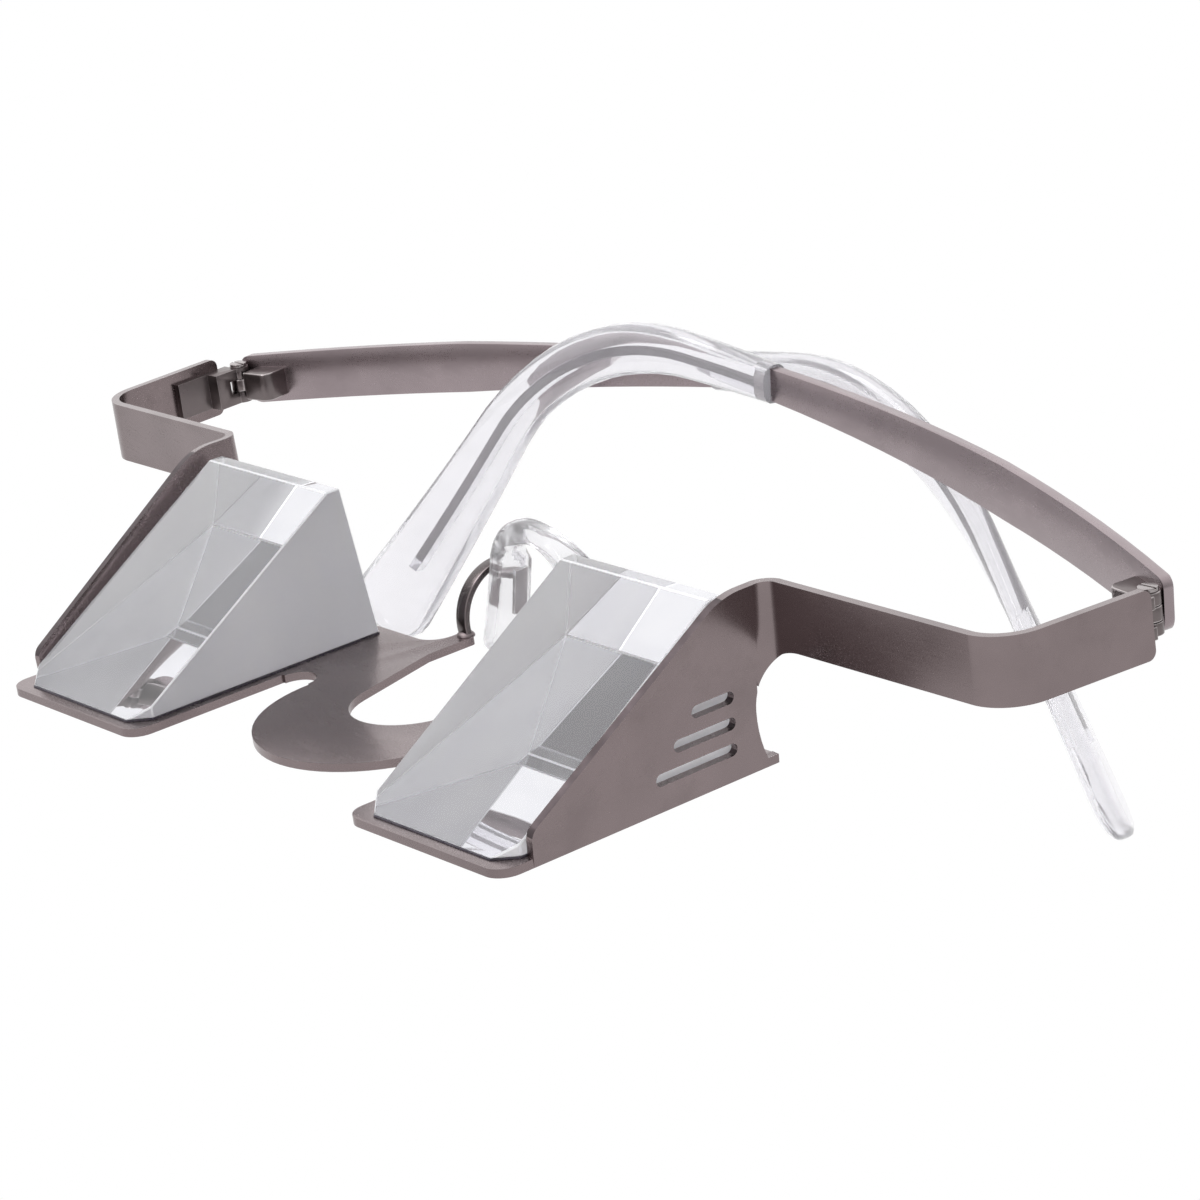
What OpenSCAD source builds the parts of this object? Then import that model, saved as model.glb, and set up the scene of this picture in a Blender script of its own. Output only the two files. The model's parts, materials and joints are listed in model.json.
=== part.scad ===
// Belay glasses: prism spectacles that turn the wearer's view upwards, with folding temples.
// Millimetres. X runs across the face with +X to the wearer's left, -Y is the front.
// Sizes are given with the prism plates level, and the whole is then tipped to lie on a table.

/* [Prisms] */
// Distance between the middles of the two prisms
pupil_distance = 63; // [60:0.5:66]
// Width of each prism
prism_w = 22.7; // [21:0.1:24]
// Length of each prism's base from toe to back
prism_base = 31.1; // [30:0.1:33]
// Angle between the base and the slanted front face
slope_angle = 31.8; // [30:0.1:33]
// Angle between the base and the back face
back_angle = 83; // [80:0.5:86]
// Width of the flat along the top ridge
ridge_flat = 1.7; // [0.5:0.1:2.5]
// Size of the small facets at the corners of the toe
toe_facet = 2.1; // [1:0.1:3]
// Thickness of the bonding layer under each prism
bond_t = 0.12; // [0.05:0.01:0.3]

/* [Front sheet] */
// Thickness of the sheet
sheet_t = 0.9; // [0.7:0.05:1.2]
// Reach of the plates in front of the prisms' toes
front_lip = 1.3; // [0.5:0.1:2.5]
// Reach of the plates behind the prisms
rear_lip = 1.3; // [0.8:0.1:2]
// Reach of the plates past the prisms on the nose side
inner_lip = 1.2; // [0.5:0.1:2]
// Gap between each prism and its side plate
side_gap = 0.2; // [0.1:0.05:0.5]
// Radius of the plates' front corners
front_corner_r = 2.3; // [1:0.1:3]
// Height of the end pieces' top edge above the plates' underside
strip_top = 18.2; // [17.5:0.1:20]
// How much higher the strips start at the side plates
strip_drop = 0.8; // [0:0.1:1.2]
// Height of the strips and the end pieces
strip_h = 6.8; // [6:0.1:8]
// Distance of the strips behind the prisms' toes
strip_y = 32.5; // [32:0.1:34]
// Angle by which the strips lean back on the way out
strip_rake = 3; // [1:0.1:4]
// Bend radius where a side plate turns into its strip
inner_bend_r = 2; // [1.5:0.1:3]
// Bend radius where a strip turns into its end piece
outer_bend_r = 4.6; // [3:0.1:6]
// Distance from the middle of the face to the corner of each strip
corner_x = 75.5; // [70:0.1:80]
// Length of the end pieces from that corner to their rear edge
end_piece_l = 16.6; // [15:0.1:20]
// Angle by which the end pieces splay outwards
splay = 5.9; // [0:0.1:8]
// Radius of the end pieces' rear corners
end_corner_r = 0.9; // [0.3:0.1:1.5]

/* [Side plates] */
// Angle by which the side plates lean outwards
side_lean = 5; // [0:0.5:7]
// Distance of the side plates' front edge behind the prisms' toes
side_front = 2.6; // [2:0.1:4]
// Height of that front edge above the plates' underside
side_front_h = 3.4; // [2.5:0.1:4]
// Angle of the side plates' slanted edge
side_slope = 32.9; // [32:0.1:34]
// Radius of the corner between that edge and the front edge
side_corner_r = 1.6; // [0.5:0.1:2]
// Radius by which that edge runs out into the level top edge
side_top_r = 8; // [2:0.5:8]
// Distance of the rear cut's deepest point behind the toes
rear_cut_y = 30; // [29.5:0.1:30.3]
// Radius of the rear cut under the strip
rear_cut_r = 6; // [5.5:0.1:6]
// Radius by which that cut runs down to the plate
rear_low_r = 13.5; // [8:0.5:20]
// Number of slots in each side plate
slot_count = 3; // [1:1:4]
// Width of those slots
slot_w = 1.3; // [0.8:0.1:1.6]
// Distance from one slot to the next
slot_pitch = 2.7; // [2.5:0.1:3.5]
// Length of the lowest and longest slot
slot_l = 10; // [6:0.5:12]
// How much shorter each slot above it is
slot_step = 2.4; // [0:0.1:3]
// Height of the lowest slot's middle above the sheet
slot_low = 2.4; // [2:0.1:3]
// Distance from the slots' rear ends to the rear cut
slot_back = 2.6; // [2:0.1:4]

/* [Bridge] */
// Radius of the bridge's rounded front
bridge_r = 13.9; // [13.5:0.1:15]
// Distance of the bridge's front behind the prisms' toes
bridge_front = 3.7; // [2:0.1:5]
// Width of the bridge in the middle, from its front to the nose notch
bridge_w = 10.6; // [9:0.1:13]
// Radius of the nose notch at its front
notch_r = 7; // [6:0.1:8]
// Angle by which each side of the notch flares out
notch_flare = 16.5; // [10:0.5:18]
// Width of the notch between the bridge legs
notch_w = 19.8; // [19:0.1:21]
// Radius at the end of the slit between the bridge and each plate
slit_r = 2.2; // [1.5:0.1:2.4]
// Length of the tabs behind the bridge legs
tab_l = 4; // [3:0.1:5]
// Width of those tabs
tab_w = 2.3; // [2:0.1:3]
// Radius of the fillet beside each tab
tab_fillet = 2.7; // [1.5:0.1:3]

/* [Hinges] */
// Height of the hinge barrels
hinge_h = 4.2; // [3.8:0.1:5]
// Height of the middle knuckle
middle_h = 1.5; // [1.2:0.1:2]
// Gap between neighbouring knuckles
knuckle_gap = 0.05; // [0.02:0.01:0.1]
// Radius of the knuckles
knuckle_r = 1.15; // [1:0.05:1.3]
// Radius of the hinge screws
screw_r = 0.6; // [0.5:0.05:0.7]
// Radial clearance of the screws in the knuckles they pass through
screw_clearance = 0.03; // [0.02:0.01:0.06]
// Radius of the screw heads
head_r = 0.98; // [0.85:0.01:1.1]
// Height of the screw heads
head_h = 0.45; // [0.3:0.05:0.7]
// Distance of the hinge pin inside the end piece's middle surface
pin_in = 2.2; // [2.1:0.05:2.6]
// Distance of the hinge pin behind the end piece
pin_back = 1.8; // [1.6:0.05:2.5]
// Thickness of the hinge leaves
leaf_t = 0.7; // [0.5:0.05:0.9]
// Length of the hinge leaves
leaf_l = 6.6; // [5:0.1:8]
// Length of the lugs on the temples
lug_l = 3.7; // [3:0.1:6]
// Height of the lugs
lug_h = 3.3; // [2.5:0.1:4]

/* [Temples] */
// Thickness of the temple strips
temple_t = 1.1; // [0.8:0.05:1.3]
// Gap between the knuckles and the inside of the temple strips
temple_gap = 0.25; // [0.15:0.05:0.4]
// Height of the temple strips at the hinge
temple_h = 5.8; // [5:0.1:6.5]
// Height of the temple strips halfway down their taper
temple_mid_h = 4.7; // [4:0.1:5]
// Height of the temple strips where they enter the tips
temple_end_h = 3.6; // [3:0.1:4]
// Reach of the temple strips in front of the hinge pin
temple_ahead = 0.5; // [0:0.1:0.8]
// Radius of the upper corner of each temple's front end
temple_top_r = 1; // [0.5:0.1:1.5]
// Radius of the lower corner of that end
temple_low_r = 1.9; // [0.9:0.1:1.9]
// Distance from the hinge to the start of the taper
taper_start = 31; // [25:1:40]
// Distance from the hinge to the mouth of the tip
mouth_s = 69.5; // [65:0.5:75]
// Length of the strip that is pushed into the tip
insert_l = 2; // [1:0.1:4]
// Width of the core inside the tip
core_w = 0.95; // [0.8:0.05:1.2]
// Radius of the temples' outward bow
bow_r = 185; // [160:5:260]
// Distance from the hinge to the start of the ear bend
bend_s = 82.4; // [80:0.1:90]
// Radius of the ear bend
ear_r = 32.3; // [28:0.1:36]
// Angle of the ear bend
ear_angle = 57.7; // [50:0.1:62]
// Length of each temple, measured along it
temple_l = 136; // [130:1:140]
// Distance from the end of the core to the end of the tip
tip_over = 11.3; // [9:0.1:14]
// Width of the tips at their mouth
tip_mouth_w = 4.3; // [4:0.1:5]
// Width of the tips through the ear bend
tip_bend_w = 5.8; // [5:0.1:7]
// Width of the tips near their end
tip_end_w = 9.4; // [8:0.1:11]
// Thickness of the tips at their mouth
tip_mouth_t = 3.3; // [2.8:0.1:4]
// Thickness of the tips near their end
tip_end_t = 2.5; // [2:0.1:3]
// Clearance of the strip and the core in the tips
tip_clearance = 0.04; // [0.02:0.01:0.1]

/* [Nose pad] */
// Height of the saddle's top above the plates' underside
saddle_top = 15; // [13.5:0.1:16]
// Outer radius of the saddle's arch
saddle_r = 7.7; // [7:0.1:8]
// Thickness of the saddle
saddle_t = 2.6; // [2:0.1:3]
// Angle by which each leg of the saddle splays
saddle_splay = 15; // [10:1:18]
// Lowest point of the legs above the plates' underside
saddle_foot = -1; // [-1.5:0.1:0]
// Depth of the saddle's legs from front to back
saddle_depth = 4.6; // [4:0.1:6]
// Depth of the saddle at the top of its arch
saddle_top_depth = 2; // [1.6:0.1:4]
// Depth of the saddle at its feet
saddle_foot_depth = 5.4; // [4:0.1:6]
// Gap between the ends of the tabs and the saddle
saddle_gap = 1; // [0.6:0.1:2]
// Outer radius of the pad arms' curve
arm_r = 5.9; // [5:0.1:6.2]
// Thickness of the pad arms
arm_t = 0.7; // [0.6:0.05:1]
// Width of the pad arms
arm_w = 1.6; // [1.4:0.1:2.3]
// Height of the pad arms' top above the plates' underside
arm_top = 7.9; // [7.5:0.1:8.5]

/* [As laid down] */
// How far the left temple is folded in from fully open
left_fold = 81.8; // [75:0.1:84]
// How far the right temple is folded in from fully open
right_fold = 77.3; // [60:0.1:78]
// How far the left tip's upper edge is turned inwards at its end
left_twist = 0; // [0:1:20]
// How far the right tip's upper edge is turned inwards at its end
right_twist = 40; // [20:1:45]
// How far the left temple climbs towards its tip
left_rise = 6.5; // [4:0.1:8]
// How far the right temple climbs towards its tip
right_rise = 4.6; // [3:0.1:8]

/* [Hidden] */
LEFT = 1;
RIGHT = -1;
CUT = 0.5;
SEAM = 0.3;
ROOT = 1;
STEEL = [0.47, 0.43, 0.43];
STEEL_PALE = [0.58, 0.54, 0.54];
GLASS = [0.80, 0.81, 0.88, 0.6];
BOND = [0.22, 0.20, 0.24];
CLEAR = [0.93, 0.92, 0.96, 0.5];

// Prism outline
inner_x = (pupil_distance - prism_w) / 2;
outer_x = inner_x + prism_w;
seat_z = sheet_t + bond_t;
sharp_h = prism_base / (1 / tan(slope_angle) + 1 / tan(back_angle));
ridge_drop = ridge_flat / (1 / tan(slope_angle) + 1 / tan(back_angle));
prism_h = sharp_h - ridge_drop;

// Front sheet, along its middle surface
side_x = outer_x + side_gap + sheet_t / 2;
side_outer = side_x + sheet_t / 2;
plate_inner = inner_x - inner_lip;
plate_rear = prism_base + rear_lip;
strip_z = strip_top - strip_h;
inner_turn = 90 - strip_rake;
outer_turn = 90 - strip_rake - splay;
hinge_z = strip_z + strip_h / 2;
side_mid_z = (hinge_z + strip_drop - sheet_t / 2 * sin(side_lean)) / cos(side_lean);
side_mid_x = side_outer - sheet_t / 2 / cos(side_lean) + (hinge_z + strip_drop) * tan(side_lean);
inner_tangent = inner_bend_r * tan(inner_turn / 2);
outer_tangent = outer_bend_r * tan(outer_turn / 2);
side_rear = strip_y - inner_tangent;
cut_end = rear_cut_y + rear_cut_r;
corner_y = strip_y + (corner_x - side_mid_x) * tan(strip_rake);
end_x = corner_x + end_piece_l * sin(splay);
end_y = corner_y + end_piece_l * cos(splay);
bridge_cy = bridge_front + bridge_r;
notch_front = bridge_front + bridge_w;
notch_cy = notch_front + notch_r;
leg_front = bridge_cy;
slit_x = (bridge_r + plate_inner) / 2;
tab_outer = notch_w / 2 + tab_w;
tab_rear = plate_rear + tab_l;

// Hinges
pin_x = end_x - pin_in * cos(splay) + pin_back * sin(splay);
pin_y = end_y + pin_in * sin(splay) + pin_back * cos(splay);
middle_half = middle_h / 2;
side_knuckle_z = middle_half + knuckle_gap;
side_knuckle_h = hinge_h / 2 - side_knuckle_z;

// Temples: s runs along from the pin, and the middle surface lies outside the pin
temple_off = knuckle_r + temple_gap + temple_t / 2;
bow_c = sqrt(bow_r * bow_r - bend_s * bend_s / 4);
bow_cut = bend_s;
ear_arc = ear_r * ear_angle * PI / 180;
bend_lead = 8;
taper_mid = (taper_start + mouth_s) / 2;
strip_end_s = mouth_s + insert_l;
tip_l = temple_l + tip_over;
tip_round = tip_end_w * 0.45;
core_room = 1.5;

// Nose pad and arms
arm_x = notch_w / 2 + tab_w / 2;
arm_cz = arm_top - arm_r;
arm_foot = sqrt((arm_r - arm_t) * (arm_r - arm_t) - (arm_cz - sheet_t) * (arm_cz - sheet_t));
arm_cy = tab_rear - 0.1 + arm_foot;
saddle_y = tab_rear + saddle_gap;
saddle_cz = saddle_top - saddle_r;
insert_t = 0.7;
insert_d = 1.6;
insert_y = arm_cy - insert_d;
insert_top = 0.9;
insert_reach = 6.2;
insert_x = (saddle_r - saddle_t / 2) * cos(saddle_splay) + 0.3;

// Path of a temple at length s: along the temple, up, and the angle turned down so far
function path_at(s) =
    s <= bend_s ? [s, 0, 0]
    : s <= bend_s + ear_arc
        ? let (a = (s - bend_s) / ear_r * 180 / PI)
          [bend_s + ear_r * sin(a), -ear_r * (1 - cos(a)), a]
    : let (e = s - bend_s - ear_arc)
      [bend_s + ear_r * sin(ear_angle) + e * cos(ear_angle),
       -ear_r * (1 - cos(ear_angle)) - e * sin(ear_angle), ear_angle];
// A point beside the path: w across the temple's height, v through its thickness
function beside(s, w, v, rise) =
    let (p = path_at(s),
         u0 = p[0] + w * sin(p[2]),
         z0 = p[1] + w * cos(p[2]),
         u = u0 * cos(rise) - z0 * sin(rise),
         z = u0 * sin(rise) + z0 * cos(rise),
         d = u - bend_s / 2,
         r = bow_r + v,
         a = asin(d / bow_r))
    [bend_s / 2 + r * sin(a), -temple_off + bow_c - r * cos(a), z];
// The same point with the plates level, for the folded left or right temple
function folded(p, side, fold) =
    let (a = 90 + fold)
    [side * (pin_x + p[0] * cos(a) - p[1] * sin(a)), pin_y + p[0] * sin(a) + p[1] * cos(a),
     hinge_z + p[2]];

// Half width and half thickness of a tip at length s, closing to a rounded end
function tip_close(s) = let (e = max(0, s - (tip_l - tip_round)) / tip_round)
    pow(max(0, 1 - pow(e, 2.4)), 1 / 2.4);
function tip_half_w(s) = tip_close(s) / 2 * lookup(s, [
    [mouth_s, tip_mouth_w], [bend_s + bend_lead, tip_bend_w], [bend_s + ear_arc * 0.8, tip_bend_w],
    [tip_l - tip_round, tip_end_w]]);
function tip_half_t(s) = sqrt(tip_close(s)) / 2 * lookup(s, [
    [mouth_s, tip_mouth_t], [bend_s + ear_arc, tip_end_t + 0.3], [tip_l - tip_round, tip_end_t]]);

TIP_SIDES = 16;
TIP_RINGS = 26;
tip_s = [for (i = [0:TIP_RINGS - 1]) mouth_s + (tip_l - tip_round - mouth_s) * i / (TIP_RINGS - 1),
         for (e = [0.35, 0.62, 0.82, 0.94, 0.99]) tip_l - tip_round * (1 - e)];
function twist_at(s, twist) = let (e = min(1, max(0, (s - bend_s - ear_arc / 2) / ear_arc)))
    twist * e * e * (3 - 2 * e);
function tip_ring(s, rise, twist) = [for (k = [0:TIP_SIDES - 1])
    let (a = 360 * k / TIP_SIDES, c = cos(a), n = sin(a), t = twist_at(s, twist),
         w = tip_half_w(s) * sign(c) * pow(abs(c), 0.8),
         v = tip_half_t(s) * sign(n) * pow(abs(n), 0.8))
    beside(s, w * cos(t) + v * sin(t), v * cos(t) - w * sin(t), rise)];

// Lying on the table: front edges and the lower tip touch it
right_tip = [for (s = tip_s) for (p = tip_ring(s, right_rise, right_twist)) folded(p, RIGHT, right_fold)];
rest_pitch = -min([for (p = right_tip) atan2(p[2], p[1] + front_lip)]);
rest_lift = front_lip * sin(rest_pitch);
function laid(p) = [p[0], p[1] * cos(rest_pitch) - p[2] * sin(rest_pitch),
                    p[1] * sin(rest_pitch) + p[2] * cos(rest_pitch) + rest_lift];
rest_rear = max([for (p = right_tip) laid(p)[1]]);
rest_front = -front_lip * cos(rest_pitch) - sheet_t * sin(rest_pitch);
rest_middle = (rest_front + rest_rear) / 2;

module at_rest() {
    translate([0, -rest_middle, rest_lift]) rotate([rest_pitch, 0, 0]) children();
}
// The left side as drawn, or its mirror image on the right
module on_side(side) {
    if (side == LEFT) children();
    else mirror([1, 0, 0]) children();
}
// A shape drawn from the side, extruded across the face
module across(x, w) {
    translate([x, 0, 0]) rotate([90, 0, 90]) linear_extrude(w) children();
}
// Middle line of a strip from its side plate to its end piece: x, y and the heading
BEND_STEPS = 20;
first_bend = [for (i = [0:BEND_STEPS]) let (a = inner_turn * i / BEND_STEPS)
    [side_mid_x + inner_bend_r * (1 - cos(a)), side_rear + inner_bend_r * sin(a), 90 - a]];
bend_mid = [corner_x - outer_tangent * cos(strip_rake) - outer_bend_r * sin(strip_rake),
            corner_y - outer_tangent * sin(strip_rake) + outer_bend_r * cos(strip_rake)];
second_bend = [for (i = [0:BEND_STEPS]) let (h = strip_rake + outer_turn * i / BEND_STEPS)
    [bend_mid[0] + outer_bend_r * sin(h), bend_mid[1] - outer_bend_r * cos(h), h]];
// The straight start of that line as far as the rear cut reaches in the flat sheet
bend_flat = side_rear + inner_bend_r * inner_turn * PI / 180;
CUT_STEPS = 8;
past_bend = [for (i = [1:CUT_STEPS]) let (d = (cut_end - bend_flat) * i / CUT_STEPS)
    first_bend[BEND_STEPS] + [d * cos(strip_rake), d * sin(strip_rake), 0]];
// Underside of the strip at a length along the flat sheet, from its middle, with the rear cut in it
function strip_low(f) = f >= cut_end ? -strip_h / 2
    : sqrt(rear_cut_r * rear_cut_r - (f - cut_end) * (f - cut_end)) - strip_h / 2 - rear_cut_r;
// Height of its middle, falling from the first bend to the second
function strip_mid(x) = hinge_z + strip_drop
    * min(1, max(0, (second_bend[0][0] - x) / (second_bend[0][0] - first_bend[BEND_STEPS][0])));
// Stations of the strip: the line's x, y and heading, underside, thickness, and how far it leans.
// The first one is a little thinner and lies inside the side plate.
thin_t = sheet_t - 0.04;
strip_stations = concat(
    [[side_mid_x, side_rear - ROOT - SEAM, 90, -strip_h / 2, thin_t, side_lean]],
    [[side_mid_x, side_rear - SEAM / 3, 90, strip_low(side_rear - SEAM / 3), sheet_t, side_lean]],
    [for (i = [0:BEND_STEPS]) let (p = first_bend[i], e = i / BEND_STEPS)
        [p[0], p[1], p[2], strip_low(side_rear + (bend_flat - side_rear) * e), sheet_t, side_lean * (1 - e)]],
    [for (i = [1:CUT_STEPS]) let (p = past_bend[i - 1])
        [p[0], p[1], p[2], strip_low(bend_flat + (cut_end - bend_flat) * i / CUT_STEPS), sheet_t, 0]],
    [for (p = second_bend) [p[0], p[1], p[2], -strip_h / 2, sheet_t, 0]],
    [[end_x, end_y, 90 - splay, -strip_h / 2, sheet_t, 0]]);
// Point of a station's outline: out is -1 inside and 1 outside, up is 0 below and 1 on top
function strip_point(p, out, up) =
    let (d = out * p[4] / 2, q = up == 0 ? p[3] : (strip_h - sheet_t + p[4]) / 2)
    [p[0] + (d * cos(p[5]) + q * sin(p[5])) * sin(p[2]),
     p[1] - (d * cos(p[5]) + q * sin(p[5])) * cos(p[2]),
     strip_mid(p[0]) + q * cos(p[5]) - d * sin(p[5])];

// Flat sheet under the prisms and round the nose
module plate_outline() {
    translate([plate_inner, -front_lip + front_corner_r])
        square([side_outer - plate_inner, plate_rear + front_lip - front_corner_r]);
    translate([plate_inner + front_corner_r, -front_lip])
        square([side_outer - plate_inner - 2 * front_corner_r, front_corner_r + CUT]);
    for (x = [plate_inner + front_corner_r, side_outer - front_corner_r])
        translate([x, -front_lip + front_corner_r]) circle(front_corner_r, $fn = 48);
}
module leg_outline() {
    difference() {
        translate([0, leg_front]) square([plate_inner + CUT, plate_rear - leg_front]);
        translate([slit_x, leg_front]) circle(slit_r, $fn = 48);
        translate([slit_x - slit_r, leg_front - CUT]) square([2 * slit_r, CUT]);
    }
    translate([notch_w / 2, plate_rear - CUT]) square([tab_w, tab_l + CUT - tab_w / 4]);
    translate([notch_w / 2 + tab_w / 4, plate_rear]) square([tab_w / 2, tab_l]);
    for (x = [notch_w / 2 + tab_w / 4, tab_outer - tab_w / 4])
        translate([x, tab_rear - tab_w / 4]) circle(tab_w / 4, $fn = 32);
    difference() {
        translate([tab_outer - CUT, plate_rear - CUT]) square(tab_fillet + CUT);
        translate([tab_outer + tab_fillet, plate_rear + tab_fillet]) circle(tab_fillet, $fn = 48);
    }
}
module notch_outline() {
    reach = notch_w / 2 - notch_r * cos(notch_flare);
    tangent_y = notch_cy - notch_r * sin(notch_flare);
    full_y = tangent_y + reach / tan(notch_flare);
    translate([0, notch_cy]) circle(notch_r, $fn = 96);
    polygon([[-notch_r * cos(notch_flare), tangent_y], [notch_r * cos(notch_flare), tangent_y],
             [notch_w / 2, full_y], [notch_w / 2, tab_rear + CUT],
             [-notch_w / 2, tab_rear + CUT], [-notch_w / 2, full_y]]);
}
module flat_sheet() {
    linear_extrude(sheet_t) difference() {
        union() {
            for (side = [LEFT, RIGHT]) scale([side, 1]) {
                plate_outline();
                leg_outline();
            }
            translate([0, bridge_cy]) circle(bridge_r, $fn = 128);
        }
        notch_outline();
    }
}

// Upright side plate, drawn with Y to the right and Z up
module side_outline() {
    top = side_mid_z + strip_h / 2;
    under = side_mid_z - strip_h / 2;
    slant_y = side_front + (top - side_front_h) / tan(side_slope);
    turn = 90 - side_slope;
    run_out = max(0.1, min(side_top_r, (side_rear - SEAM - ROOT - slant_y) / tan(side_slope / 2)));
    crest = [for (i = [0:12]) let (a = 90 + side_slope * (1 - i / 12))
        [slant_y + run_out * (tan(side_slope / 2) + cos(a)), top + run_out * (sin(a) - 1)]];
    corner = [for (i = [0:8]) let (a = 180 - turn * i / 8)
        [side_front + side_corner_r * (1 + cos(a)),
         side_front_h - side_corner_r * tan(turn / 2) + side_corner_r * sin(a)]];
    difference() {
        polygon(concat([[side_front, 0]], corner, crest, [[side_rear - SEAM, top],
            [side_rear - SEAM, under - rear_cut_r], [plate_rear, under - rear_cut_r], [plate_rear, 0]]));
        translate([rear_cut_y + rear_cut_r, under - rear_cut_r]) circle(rear_cut_r, $fn = 96);
        intersection() {
            translate([rear_cut_y + rear_low_r, under - rear_cut_r]) circle(rear_low_r, $fn = 192);
            translate([rear_cut_y - CUT, sheet_t])
                square([plate_rear - rear_cut_y + 2 * CUT, under - rear_cut_r - sheet_t]);
        }
    }
}

module slot_outline(length) {
    translate([slot_w / 2, 0]) circle(slot_w / 2, $fn = 32);
    translate([length - slot_w / 2, 0]) circle(slot_w / 2, $fn = 32);
    translate([slot_w / 2, -slot_w / 2]) square([length - slot_w, slot_w]);
}
// Slots that run level and end along the slanted edge's own angle
module side_slots() {
    slots_rear = rear_cut_y - slot_back;
    slots_low = sheet_t + slot_low;
    for (i = [0:slot_count - 1]) {
        length = slot_l - i * slot_step;
        translate([slots_rear - length, slots_low + i * slot_pitch]) slot_outline(length);
    }
}
module side_strip() {
    n = len(strip_stations);
    points = [for (p = strip_stations) for (out = [-1, 1]) for (up = [0, 1]) strip_point(p, out, up)];
    faces = concat([[0, 1, 3, 2], [4 * n - 4, 4 * n - 2, 4 * n - 1, 4 * n - 3]],
        [for (i = [0:n - 2]) for (f = [[0, 4, 5], [0, 5, 1], [1, 5, 7], [1, 7, 3], [3, 7, 6], [3, 6, 2],
            [0, 2, 4], [2, 6, 4]]) [for (k = f) 4 * i + k]]);
    difference() {
        polyhedron(points, faces);
        end_corners();
    }
}
// Rounds the two rear corners of an end piece
module end_corners() {
    for (up = [0, 1]) translate([end_x, end_y, strip_z + up * strip_h]) rotate([0, 0, -splay])
        mirror([0, 0, up]) difference() {
            translate([-sheet_t, -end_corner_r, -CUT])
                cube([2 * sheet_t, end_corner_r + CUT, end_corner_r + CUT]);
            translate([-sheet_t - CUT, -end_corner_r, end_corner_r]) rotate([0, 90, 0])
                cylinder(h = 2 * sheet_t + 2 * CUT, r = end_corner_r, $fn = 32);
        }
}
module frame_front() {
    color(STEEL) at_rest() {
        flat_sheet();
        for (side = [LEFT, RIGHT]) on_side(side) {
            translate([side_outer, 0, 0]) rotate([0, side_lean, 0]) across(-sheet_t, sheet_t) difference() {
                side_outline();
                side_slots();
            }
            side_strip();
        }
    }
}

// Glass prism: its profile from the side, cut to its plan with the toe's corners taken off
module prism_plan() {
    translate([inner_x, 0]) polygon([[toe_facet, 0], [prism_w - toe_facet, 0], [prism_w, toe_facet],
        [prism_w, prism_base], [0, prism_base], [0, toe_facet]]);
}
module prism(side) {
    color(GLASS) at_rest() on_side(side) translate([0, 0, seat_z]) intersection() {
        across(inner_x, prism_w) polygon([[0, 0], [prism_base, 0],
            [prism_base - prism_h / tan(back_angle), prism_h], [prism_h / tan(slope_angle), prism_h]]);
        linear_extrude(sharp_h) prism_plan();
    }
}
module prism_bond(side) {
    color(BOND) at_rest() on_side(side) translate([0, 0, sheet_t]) linear_extrude(bond_t) prism_plan();
}

// Hinge leaf in the end piece, drawn from the end piece's rear edge
module at_end_piece() {
    translate([end_x, end_y, hinge_z]) rotate([0, 0, -splay]) children();
}
module leaf_plate(x_in, y_rear, height) {
    inside = -sheet_t / 2;
    translate([inside - x_in, -leaf_l, -height / 2]) cube([x_in, leaf_l + y_rear, height]);
}
module hinge_leaf(side) {
    arm_in = pin_in + knuckle_r * 0.6 - sheet_t / 2;
    color(STEEL_PALE) at_rest() on_side(side) difference() {
        union() {
            at_end_piece() {
                leaf_plate(leaf_t, 0, hinge_h);
                for (z = [-hinge_h / 2, side_knuckle_z])
                    translate([-sheet_t / 2 - arm_in, -leaf_l / 3, z])
                        cube([arm_in, leaf_l / 3 + pin_back - knuckle_r * 0.6, side_knuckle_h]);
                translate([-sheet_t / 2 - arm_in, -leaf_l / 3, -hinge_h / 2])
                    cube([arm_in, leaf_l / 3 + pin_back - 1.8 * knuckle_r, hinge_h]);
            }
            for (z = [-hinge_h / 2, side_knuckle_z])
                translate([pin_x, pin_y, hinge_z + z]) cylinder(h = side_knuckle_h, r = knuckle_r, $fn = 64);
        }
        translate([pin_x, pin_y, hinge_z - hinge_h / 2 - CUT])
            cylinder(h = hinge_h + 2 * CUT, r = screw_r + screw_clearance, $fn = 64);
    }
}
module hinge_screw(side) {
    slot_depth = head_h * 0.5;
    color(STEEL_PALE) at_rest() on_side(side) translate([pin_x, pin_y, hinge_z]) difference() {
        union() {
            translate([0, 0, -hinge_h / 2]) cylinder(h = hinge_h + head_h / 2, r = screw_r, $fn = 64);
            translate([0, 0, hinge_h / 2]) cylinder(h = head_h, r = head_r, $fn = 64);
        }
        translate([-head_r - CUT, -head_h / 4, hinge_h / 2 + head_h - slot_depth])
            cube([2 * head_r + 2 * CUT, head_h / 2, slot_depth + CUT]);
    }
}

// Everything on a temple is drawn from the pin: +X along it, -Y outwards
module on_temple(side) {
    fold = side == LEFT ? left_fold : right_fold;
    at_rest() on_side(side) translate([pin_x, pin_y, hinge_z]) rotate([0, 0, 90 + fold]) children();
}
function rise_of(side) = side == LEFT ? left_rise : right_rise;

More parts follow.
